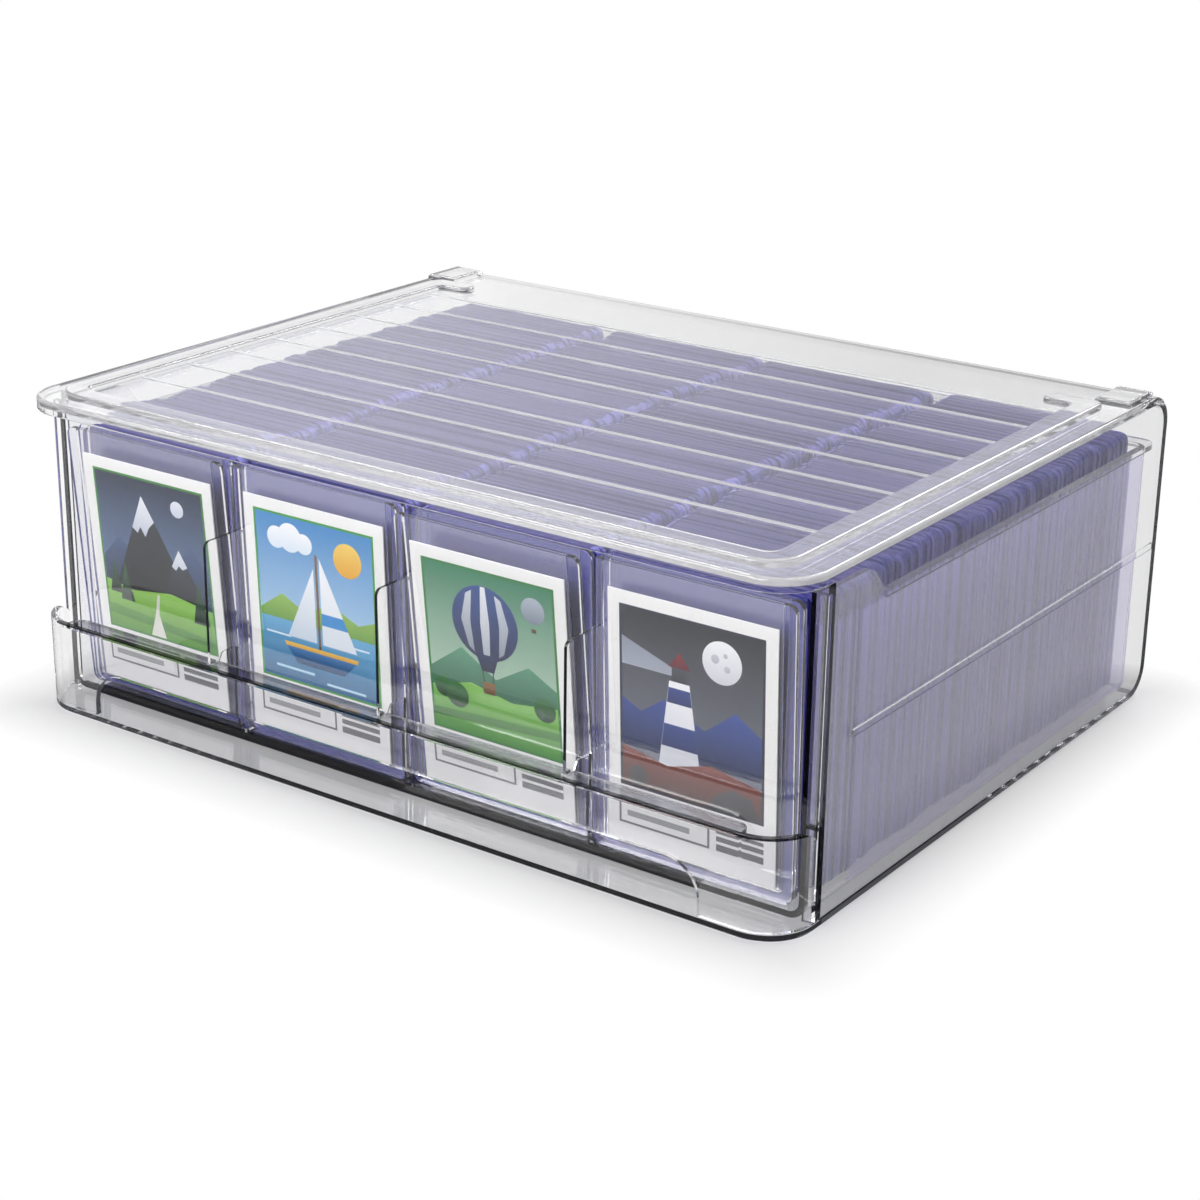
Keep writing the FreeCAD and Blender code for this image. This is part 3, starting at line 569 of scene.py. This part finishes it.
@dataclass
class SleeveStack:
    """Sleeves of a row behind the two front ones: rounded plates with an open top, set a little unevenly."""

    row: int
    thickness: float = 1.9 * MM
    air: float = 0.2 * MM
    sheet: float = 0.45 * MM
    corner: float = 3.0 * MM
    corner_segments: int = 3
    mouth: float = 9.0 * MM
    side_play: float = 1.3 * MM
    height_play: float = 2.2 * MM
    drift: float = 0.6
    side_step: float = 0.7
    height_step: float = 0.4
    tones: tuple[float, float] = (-0.4, 0.5)
    fanned: int = 6
    SHADE = "shade"
    SIDES = 1
    TOPS = 2

    def build(self, *materials: bpy.types.Material) -> bpy.types.Object:
        """Build the row's sleeves as one piece.

        Args:
            materials: Materials of the faces, the welded sides and the open tops.
        Returns:
            The piece, which stands for the row's CAD node.
        """
        node = f"row_{self.row}_sleeves"
        low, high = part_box(node)
        dice = random.Random(self.row)
        mesh = bmesh.new()
        shade = mesh.faces.layers.float.new(self.SHADE)
        step = self.thickness + self.air
        count = round((high.y - low.y + self.air) / step)
        lean = lean_of(f"row_{self.row}_second_sleeve")
        shift, sink = 0.0, 0.5
        for order in range(count):
            sway = dice.uniform(-self.side_step, self.side_step)
            shift = max(-1.0, min(1.0, self.drift * shift + sway))
            drop = dice.uniform(-self.height_step, self.height_step)
            sink = max(0.0, min(1.0, 0.5 + self.drift * (sink - 0.5) + drop))
            tone = dice.uniform(*self.tones)
            faces = self.sleeve(mesh, low, high, shift, sink)
            turn = lean * max(0.0, 1 - (order + 1) / (self.fanned + 1))
            front = ((low.x + high.x) / 2, low.y + order * step, low.z)
            place = Matrix.Translation(front) @ Matrix.Rotation(turn, 4, "X")
            bmesh.ops.transform(mesh, matrix=place, verts=list({v for item in faces for v in item.verts}))
            for item in faces:
                item[shade] = tone
        piece = new_object(f"row_{self.row}_stack", mesh, *materials)
        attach(piece, "drawer")
        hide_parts(node)
        return piece

    def sleeve(self, mesh: bmesh.types.BMesh, low: Vector, high: Vector, shift: float,
               sink: float) -> list[bmesh.types.BMFace]:
        """Add one upright sleeve in the middle of the X axis, with its lower front edge along it.

        Args:
            mesh: Mesh of the row.
            low: Low corner of the row's box.
            high: High corner of the row's box.
            shift: Share of the play to the side, from minus one to one.
            sink: Share of the play in height.
        Returns:
            The faces of the sleeve.
        """
        width = high.x - low.x - 2 * self.side_play
        height = high.z - low.z - sink * self.height_play
        sheet = bmesh.ops.create_grid(mesh, x_segments=1, y_segments=1, size=0.5)["verts"]
        middle = Matrix.Translation((shift * self.side_play, 0, height / 2))
        place = middle @ Matrix.Rotation(QUARTER_TURN, 4, "X") @ Matrix.Diagonal((width, height, 1, 1))
        bmesh.ops.transform(mesh, matrix=place, verts=sheet)
        corners = bmesh.ops.bevel(mesh, geom=sheet, affect="VERTICES", offset=self.corner,
                                  segments=self.corner_segments, profile=0.5, material=-1)
        plate = corners["faces"] or list({f for v in corners["verts"] for f in v.link_faces})
        pulled = bmesh.ops.extrude_face_region(mesh, geom=plate, use_keep_orig=True)["geom"]
        back = [item for item in pulled if isinstance(item, bmesh.types.BMVert)]
        bmesh.ops.translate(mesh, vec=(0, self.thickness, 0), verts=back)
        faces = list({f for v in back for f in v.link_faces} | set(plate))
        bmesh.ops.recalc_face_normals(mesh, faces=faces)
        top = max(faces, key=lambda item: item.calc_center_median().z)
        rim = bmesh.ops.inset_individual(mesh, faces=[top], thickness=self.sheet)["faces"]
        for item in faces:
            item.material_index = self.SIDES if abs(item.normal.y) < 0.5 else 0
        for item in (top, *rim):
            item.material_index = self.TOPS
        bmesh.ops.translate(mesh, vec=(0, 0, -self.mouth), verts=top.verts)
        return faces + rim


class Motif(Enum):
    """Generic scene printed on a card."""

    PEAKS = "peaks"
    BOAT = "boat"
    BALLOON = "balloon"
    MOON = "moon"


@dataclass(frozen=True)
class Patch:
    """Flat area of ink, in shares of the card's width and height, that fades from its lower ink upwards."""

    points: tuple[tuple[float, float], ...]
    lower: str
    upper: str


@dataclass(frozen=True)
class Disc:
    """Round area of ink, in shares of the card's width and height."""

    centre: tuple[float, float]
    radius: float
    lower: str
    upper: str


LEFT, RIGHT, FOOT, HEAD = 0.085, 0.915, 0.245, 0.94


def band(left: float, bottom: float, right: float, top: float, lower: str, upper: str | None = None) -> Patch:
    """Rectangular patch."""
    return Patch(((left, bottom), (right, bottom), (right, top), (left, top)), lower, upper or lower)


def backdrop(lower: str, upper: str) -> Patch:
    """Patch that fills the whole picture."""
    return band(LEFT, FOOT, RIGHT, HEAD, lower, upper)


def ridge(base: float, right: float, crest: tuple[tuple[float, float], ...], left: float, lower: str,
          upper: str) -> Patch:
    """Patch across the picture from a level base up to a crest.

    Args:
        base: Height of the base.
        right: Height of the crest at the picture's right side.
        crest: Points of the crest between the sides, from right to left.
        left: Height of the crest at the left side.
        lower: Ink at the base.
        upper: Ink at the top of the crest.
    Returns:
        The patch.
    """
    return Patch(((LEFT, base), (RIGHT, base), (RIGHT, right), *crest, (LEFT, left)), lower, upper)


CAPTION = (
    band(0.07, 0.085, 0.62, 0.175, "6A6C6E"),
    band(0.083, 0.094, 0.607, 0.166, "F0EFEA"),
    band(0.12, 0.118, 0.50, 0.142, "9A9A98"),
    band(0.66, 0.157, 0.93, 0.172, "6B6B6D"),
    band(0.66, 0.126, 0.93, 0.146, "6B6B6D"),
    band(0.66, 0.087, 0.93, 0.114, "6B6B6D"),
)
FRAMES = {Motif.PEAKS: "3E8A35", Motif.BOAT: "3F9A3A", Motif.BALLOON: "2F7F35", Motif.MOON: "20263A"}
SCENES = {
    Motif.PEAKS: (
        backdrop("7F9CC4", "15213D"),
        Disc((0.72, 0.85), 0.05, "CDD5E2", "EEF1F6"),
        ridge(0.40, 0.60, ((0.80, 0.69), (0.66, 0.61), (0.50, 0.71), (0.34, 0.60), (0.22, 0.66)), 0.56,
              "22304A", "4A6088"),
        Patch(((0.16, 0.42), (0.80, 0.42), (0.52, 0.77), (0.44, 0.87)), "0D0F13", "2C3039"),
        Patch(((0.345, 0.72), (0.385, 0.70), (0.41, 0.73), (0.445, 0.69), (0.48, 0.735), (0.525, 0.765),
               (0.44, 0.87)), "C5CCD8", "F6F8FA"),
        Patch(((0.52, 0.42), (0.90, 0.42), (0.70, 0.67)), "181C24", "39404C"),
        Patch(((0.635, 0.59), (0.665, 0.575), (0.69, 0.60), (0.72, 0.585), (0.757, 0.60), (0.70, 0.67)),
              "CDD4DE", "F4F6F8"),
        ridge(FOOT, 0.43, ((0.60, 0.46), (0.30, 0.43)), 0.455, "55932F", "96CB58"),
        Patch(((LEFT, 0.30), (RIGHT, 0.265), (RIGHT, 0.30), (LEFT, 0.345)), "437C2B", "5C9A3A"),
        Patch(((0.41, FOOT), (0.53, FOOT), (0.49, 0.35), (0.51, 0.44), (0.492, 0.44), (0.462, 0.35)),
              "E9E7DE", "D3D6CC"),
        Patch(((0.11, 0.40), (0.21, 0.40), (0.16, 0.555)), "12241A", "2C5A38"),
        Patch(((0.19, 0.375), (0.30, 0.375), (0.245, 0.55)), "14291C", "2F603B"),
        Patch(((0.77, 0.36), (0.89, 0.36), (0.83, 0.55)), "12241A", "2C5A38"),
    ),
    Motif.BOAT: (
        backdrop("CDE7F4", "3A8BC8"),
        Disc((0.74, 0.82), 0.10, "EBA91F", "F8D566"),
        Disc((0.23, 0.845), 0.065, "E2EEF6", "FFFFFF"),
        Disc((0.33, 0.855), 0.085, "E2EEF6", "FFFFFF"),
        Disc((0.43, 0.842), 0.06, "E2EEF6", "FFFFFF"),
        ridge(0.48, 0.59, ((0.80, 0.56), (0.60, 0.62), (0.42, 0.55), (0.25, 0.61)), 0.53, "5F9633", "9CC25A"),
        band(LEFT, FOOT, RIGHT, 0.50, "22618F", "63ABD4"),
        band(0.12, 0.43, 0.30, 0.438, "D6EAF4"),
        band(0.66, 0.455, 0.87, 0.463, "D6EAF4"),
        band(0.18, 0.29, 0.46, 0.301, "BBDDEE"),
        band(0.55, 0.265, 0.83, 0.275, "BBDDEE"),
        Patch(((0.34, 0.325), (0.68, 0.325), (0.79, 0.405), (0.25, 0.405)), "0F3F66", "1F74B4"),
        Patch(((0.262, 0.392), (0.778, 0.392), (0.79, 0.41), (0.25, 0.41)), "D9A22C", "F2C750"),
        band(0.503, 0.41, 0.52, 0.81, "5E4429", "8A6840"),
        Patch(((0.535, 0.435), (0.78, 0.435), (0.535, 0.80)), "DCE4EA", "FFFFFF"),
        Patch(((0.28, 0.435), (0.49, 0.435), (0.49, 0.75)), "CBD8E2", "FAFCFD"),
        Patch(((0.535, 0.52), (0.723, 0.52), (0.69, 0.57), (0.535, 0.57)), "2F8FCF", "2F8FCF"),
    ),
    Motif.BALLOON: (
        backdrop("D3E6D2", "2F7F5C"),
        ridge(0.40, 0.53, ((0.74, 0.60), (0.52, 0.51), (0.30, 0.61)), 0.50, "2C5E45", "5C9B7A"),
        ridge(FOOT, 0.46, ((0.62, 0.43), (0.35, 0.47)), 0.42, "3E8A2F", "8DC860"),
        Patch(((LEFT, 0.29), (RIGHT, 0.325), (RIGHT, 0.36), (LEFT, 0.325)), "356F29", "4C9038"),
        Disc((0.16, 0.42), 0.06, "1B3A20", "3D7A40"),
        Disc((0.25, 0.40), 0.075, "1B3A20", "3D7A40"),
        Disc((0.83, 0.44), 0.07, "1B3A20", "3D7A40"),
        Disc((0.79, 0.84), 0.075, "7B8894", "B4BEC8"),
        band(0.775, 0.752, 0.805, 0.768, "5B4630"),
        Disc((0.47, 0.735), 0.215, "131D42", "34508F"),
        Patch(((0.355, 0.625), (0.39, 0.607), (0.375, 0.735), (0.395, 0.862), (0.355, 0.845), (0.315, 0.735)),
              "8E97A2", "D2D8DE"),
        Patch(((0.585, 0.625), (0.625, 0.735), (0.585, 0.845), (0.545, 0.862), (0.565, 0.735), (0.55, 0.607)),
              "8E97A2", "D2D8DE"),
        Patch(((0.45, 0.583), (0.49, 0.583), (0.50, 0.735), (0.485, 0.885), (0.455, 0.885), (0.44, 0.735)),
              "A9B1BA", "F0F2F4"),
        Patch(((0.43, 0.535), (0.51, 0.535), (0.545, 0.605), (0.395, 0.605)), "0E1636", "1E2C5C"),
        Patch(((0.438, 0.49), (0.444, 0.49), (0.438, 0.535), (0.432, 0.535)), "2B2B2B", "2B2B2B"),
        Patch(((0.496, 0.49), (0.502, 0.49), (0.508, 0.535), (0.502, 0.535)), "2B2B2B", "2B2B2B"),
        band(0.43, 0.44, 0.51, 0.49, "54381E", "8F683C"),
    ),
    Motif.MOON: (
        backdrop("7E828E", "1D1F25"),
        Disc((0.68, 0.82), 0.115, "D5D6DA", "FBFBFC"),
        Disc((0.64, 0.83), 0.024, "B9BAC1", "CCCDD2"),
        Disc((0.71, 0.80), 0.018, "B9BAC1", "CCCDD2"),
        Disc((0.70, 0.85), 0.013, "B9BAC1", "CCCDD2"),
        ridge(0.40, 0.57, ((0.76, 0.64), (0.58, 0.54), (0.34, 0.62), (0.20, 0.55)), 0.59, "15224A", "3A539C"),
        Patch(((0.415, 0.72), (0.415, 0.745), (LEFT, 0.83), (LEFT, 0.72)), "A7ACB8", "8F95A4"),
        Patch(((0.30, 0.33), (0.56, 0.33), (0.49, 0.70), (0.37, 0.70)), "C9CCD4", "FCFCFC"),
        Patch(((0.322, 0.44), (0.539, 0.44), (0.522, 0.53), (0.339, 0.53)), "1B2C66", "2A4288"),
        Patch(((0.356, 0.615), (0.505, 0.615), (0.494, 0.675), (0.366, 0.675)), "1B2C66", "2A4288"),
        band(0.385, 0.70, 0.475, 0.755, "2A2D34", "4A4E58"),
        Patch(((0.365, 0.755), (0.495, 0.755), (0.43, 0.815)), "5E1420", "8C2534"),
        ridge(FOOT, 0.37, ((0.62, 0.41), (0.36, 0.36)), 0.40, "3A1815", "86453A"),
        Patch(((0.60, FOOT), (0.90, FOOT), (0.86, 0.32), (0.74, 0.34), (0.64, 0.30)), "1C1C21", "45454D"),
        Disc((0.18, 0.29), 0.055, "1C1C21", "45454D"),
    ),
}


@dataclass
class PrintedCard:
    """Card in a row's front sleeve: white stock with a printed scene and bare caption bars."""

    row: int
    motif: Motif
    width: float = 63.5 * MM
    height: float = 88.9 * MM
    thickness: float = 0.6 * MM
    edge_round: float = 0.08 * MM
    relief: float = 0.004 * MM
    print_room: float = 0.12 * MM
    disc_segments: int = 40
    white: str = "F4F3EF"
    INK = "ink"

    def build(self, stock: bpy.types.Material) -> bpy.types.Object:
        """Build the card upright, with its lower front edge on the X axis, and set it leaning in its sleeve.

        Args:
            stock: Material of the printed card.
        Returns:
            The piece, which stands for the row's CAD node.
        """
        node = f"row_{self.row}_card"
        mesh = bmesh.new()
        ink = mesh.loops.layers.float_color.new(self.INK)
        size = (self.width, self.thickness - self.print_room, self.height)
        middle = (0, (self.thickness + self.print_room) / 2, self.height / 2)
        bmesh.ops.create_cube(mesh, size=1, matrix=Matrix.LocRotScale(Vector(middle), None, Vector(size)))
        bmesh.ops.bevel(mesh, geom=mesh.edges[:], affect="EDGES", offset=self.edge_round, segments=2,
                        profile=0.5, material=-1)
        for item in mesh.faces:
            for loop in item.loops:
                loop[ink] = linear(self.white)
        frame_line = band(0.07, 0.235, 0.93, 0.95, FRAMES[self.motif])
        for layer, patch in enumerate((frame_line, *CAPTION, *SCENES[self.motif])):
            self.lay(mesh, ink, patch, layer + 1)
        low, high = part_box(node)
        lean = lean_of(node)
        edge = ((low.x + high.x) / 2, high.y - self.thickness * math.cos(lean), low.z)
        place = Matrix.Translation(edge) @ Matrix.Rotation(lean, 4, "X")
        bmesh.ops.transform(mesh, matrix=place, verts=mesh.verts[:])
        piece = new_object(f"row_{self.row}_print", mesh, stock)
        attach(piece, f"row_{self.row}_front")
        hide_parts(node)
        return piece

    def lay(self, mesh: bmesh.types.BMesh, ink: bmesh.types.BMLayerItem, patch: Patch | Disc,
            layer: int) -> None:
        """Lay one area of ink on the front of the card.

        Args:
            mesh: Mesh of the card.
            ink: Colour layer of the mesh.
            patch: The area.
            layer: How many areas down to the bare card it lies.
        """
        front = self.print_room - layer * self.relief
        if isinstance(patch, Disc):
            centre = ((patch.centre[0] - 0.5) * self.width, front, patch.centre[1] * self.height)
            turn = Matrix.Translation(centre) @ Matrix.Rotation(QUARTER_TURN, 4, "X")
            verts = bmesh.ops.create_circle(mesh, cap_ends=True, segments=self.disc_segments,
                                            radius=patch.radius * self.width, matrix=turn)["verts"]
            area = verts[0].link_faces[0]
        else:
            places = [((x - 0.5) * self.width, front, z * self.height) for x, z in patch.points]
            verts = [mesh.verts.new(place) for place in places]
            area = mesh.faces.new(verts)
        pulled = bmesh.ops.extrude_face_region(mesh, geom=[area], use_keep_orig=True)["geom"]
        back = [item for item in pulled if isinstance(item, bmesh.types.BMVert)]
        bmesh.ops.translate(mesh, vec=(0, self.print_room, 0), verts=back)
        faces = list({item for v in back for item in v.link_faces} | {area})
        bmesh.ops.recalc_face_normals(mesh, faces=faces)
        bottom = min(v.co.z for v in verts)
        top = max(v.co.z for v in verts)
        for loop in (loop for item in faces for loop in item.loops):
            share = (loop.vert.co.z - bottom) / (top - bottom)
            loop[ink] = [a + (b - a) * share for a, b in zip(linear(patch.lower), linear(patch.upper))]


@dataclass(frozen=True)
class Lamp:
    """Soft square lamp that faces the middle of the object."""

    name: str
    place: Place
    size: float
    watts: float
    gloss_only: bool = False
    aim: Place = (0, 0, 0.06)

    def hang(self) -> None:
        """Hang the lamp; one for gloss only draws highlights on polished edges and lights nothing else."""
        data = bpy.data.lights.new(self.name, "AREA")
        data.size = self.size
        data.energy = self.watts
        lamp = bpy.data.objects.new(self.name, data)
        facing = (Vector(self.aim) - Vector(self.place)).to_track_quat("-Z", "Y")
        lamp.matrix_world = Matrix.Translation(self.place) @ facing.to_matrix().to_4x4()
        lamp.visible_diffuse = not self.gloss_only
        lamp.visible_transmission = not self.gloss_only
        bpy.context.scene.collection.objects.link(lamp)


@dataclass(frozen=True)
class Studio:
    """Pale floor, soft lamps and the camera of the photo."""

    eye: Place = (0.5144, -0.7284, 0.3721)
    turn: float = 35.19
    tilt: float = 20.47
    roll: float = 0.81
    lens: float = 75.75
    sensor: float = 36.0
    floor_drop: float = 0.5 * MM
    floor_reach: float = 6.0
    floor_mottle: float = 1 / 3
    shadow_reach: float = 28 * MM
    shadow_lift: float = 0.35
    behind: Place = (-0.82, 0.57, 0.0)
    room_levels: tuple[float, float] = (0.2, 0.5)
    room_span: tuple[float, float] = (-0.4, 0.6)
    window_level: float = 0.5
    window_span: tuple[float, float] = (0.86, 0.93)
    bounces: int = 32
    clear_bounces: int = 28
    shadow_bounces: int = 48
    lamps: tuple[Lamp, ...] = (
        Lamp("top_box", (0.3, 0.3, 1.5), 1.5, 14),
        Lamp("front_box", (-0.6, -1.7, 0.9), 1.2, 20),
        Lamp("left_edge_light", (-0.95, 0.2, 1.45), 0.7, 15, gloss_only=True),
        Lamp("back_edge_light", (0.0, 1.4, 1.2), 0.7, 15, gloss_only=True),
    )

    def camera(self) -> None:
        """Set the camera where the photo was taken from."""
        data = bpy.data.cameras.new("photo_camera")
        data.lens = self.lens
        data.sensor_width = self.sensor
        camera = bpy.data.objects.new("photo_camera", data)
        camera.matrix_world = (Matrix.Translation(self.eye) @ Matrix.Rotation(math.radians(self.turn), 4, "Z")
                               @ Matrix.Rotation(math.radians(90 - self.tilt), 4, "X")
                               @ Matrix.Rotation(math.radians(self.roll), 4, "Z"))
        bpy.context.scene.collection.objects.link(camera)
        bpy.context.scene.camera = camera

    def paper(self) -> bpy.types.Material:
        """Make the floor's white paper, which keeps the object's shadow near it and is plain white beyond.

        Returns:
            The material.
        """
        material, tree = new_tree("studio_floor")
        place = add(tree, "TexCoord").outputs["Object"]
        mottle = add(tree, "TexNoise", {"Vector": place, "Scale": 1 / self.floor_mottle})
        tone = add(tree, "Mix", {0: mottle.outputs["Fac"], 6: linear("EBEBEB"), 7: linear("E6E6E7")},
                   data_type="RGBA")
        path = add(tree, "LightPath")
        shown = add(tree, "Mix", {0: path.outputs["Is Glossy Ray"], 6: tone.outputs[2], 7: linear("8C8C8E")},
                    data_type="RGBA")
        paper = add(tree, "BsdfDiffuse", {"Color": shown.outputs[2]})
        seen = add(tree, "Math", {0: path.outputs["Is Camera Ray"], 1: path.outputs["Is Transmission Ray"]},
                   operation="MAXIMUM")
        glow = add(tree, "Emission", {"Color": linear("FFFFFF"), "Strength": seen.outputs[0]})
        size = add(tree, "VectorMath", {0: place}, operation="ABSOLUTE").outputs[0]
        over = add(tree, "VectorMath", {0: size, 1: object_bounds()[1]}, operation="SUBTRACT").outputs[0]
        outside = add(tree, "VectorMath", {0: over}, operation="MAXIMUM").outputs[0]
        gap = add(tree, "VectorMath", {0: outside}, operation="LENGTH").outputs["Value"]
        share = add(tree, "MapRange", {"Value": gap, "From Max": self.shadow_reach,
                                       "To Min": self.shadow_lift, "To Max": 1.0}).outputs["Result"]
        lift = add(tree, "MixShader", {0: share, 1: paper.outputs[0], 2: glow.outputs[0]})
        add(tree, "OutputMaterial", {"Surface": lift.outputs[0]})
        return material

    def floor(self) -> None:
        """Lay the floor just under the object."""
        material = self.paper()
        mesh = bmesh.new()
        bmesh.ops.create_grid(mesh, x_segments=1, y_segments=1, size=self.floor_reach / 2,
                              matrix=Matrix.Translation((0, 0, -self.floor_drop)))
        new_object("studio_floor", mesh, material)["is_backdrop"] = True

    def room(self) -> None:
        """Give the room its soft light: white to the camera, and for the rest brightest behind the object."""
        world = bpy.data.worlds.new("studio_room")
        world.use_nodes = True
        tree = world.node_tree
        tree.nodes.clear()
        way = add(tree, "TexCoord").outputs["Generated"]
        back = add(tree, "VectorMath", {0: way, 1: self.behind}, operation="DOT_PRODUCT").outputs["Value"]
        wide = add(tree, "MapRange", {
            "Value": back, "From Min": self.room_span[0], "From Max": self.room_span[1],
            "To Min": self.room_levels[0], "To Max": self.room_levels[1]}).outputs["Result"]
        window = add(tree, "MapRange", {
            "Value": back, "From Min": self.window_span[0], "From Max": self.window_span[1],
            "To Min": 0.0, "To Max": self.window_level}).outputs["Result"]
        level = add(tree, "Math", {0: wide, 1: window}, operation="ADD").outputs[0]
        room = add(tree, "Background", {"Strength": level})
        white = add(tree, "Background", {"Strength": 1.0})
        seen = add(tree, "LightPath").outputs["Is Camera Ray"]
        both = add(tree, "MixShader", {0: seen, 1: room.outputs[0], 2: white.outputs[0]})
        add(tree, "OutputWorld", {"Surface": both.outputs[0]})
        bpy.context.scene.world = world

    def build(self) -> None:
        """Set up the camera, floor, lamps and room, with light paths long enough for clear walls."""
        scene = bpy.context.scene
        scene.view_settings.view_transform = "Standard"
        scene.cycles.max_bounces = self.bounces
        scene.cycles.transmission_bounces = self.clear_bounces
        scene.cycles.glossy_bounces = self.clear_bounces
        scene.cycles.transparent_max_bounces = self.shadow_bounces
        self.camera()
        self.floor()
        for lamp in self.lamps:
            lamp.hang()
        self.room()


@dataclass(frozen=True)
class Rows:
    """Four rows of sleeves, each with a card in its front sleeve."""

    streak: Place = (FAR, 0.45 * MM, 80 * MM)
    # The sleeves' sides get painted shade right of this side and above this height
    painted_shade_side: float = 150 * MM
    painted_shade_height: float = 96 * MM

    def build(self) -> None:
        """Dress the two front sleeves of each row, and build the sleeves behind them and the card."""
        sheet = SleeveSheet().make()
        faces = SleevePack("lavender_pvc_faces", "4A4C90", "2A2C70").make()
        # The sides carry painted shade where they show over the drawer's rim at the right end
        sides = SleevePack("lavender_pvc_sides_painted_shade", "7470D0", "10107A", roughness=0.3, streak=self.streak,
                           contrast=0.6, shade_painted_right=self.painted_shade_side, shade_painted_above=self.painted_shade_height).make()
        tops = SleevePack("lavender_pvc_tops", "7C78B8", "5A569C").make()
        stock = PrintedStock().make()
        for row, motif in zip(range(1, ROW_COUNT + 1), Motif):
            dress(f"row_{row}_front_sleeve", sheet)
            dress(f"row_{row}_second_sleeve", sheet)
            SleeveStack(row).build(faces, sides, tops)
            PrintedCard(row, motif).build(stock)


def main() -> None:
    """Build and dress the whole object in order."""
    logging.basicConfig(level=logging.INFO, format="%(name)s: %(message)s")
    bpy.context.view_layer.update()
    OuterCase().dress()
    Drawer().dress()
    divider = ClearPlastic("clear_divider_polystyrene").make()
    for node in DIVIDERS:
        dress(node, divider)
    Rows().build()
    Studio().build()


if __name__ == "__main__":
    main()
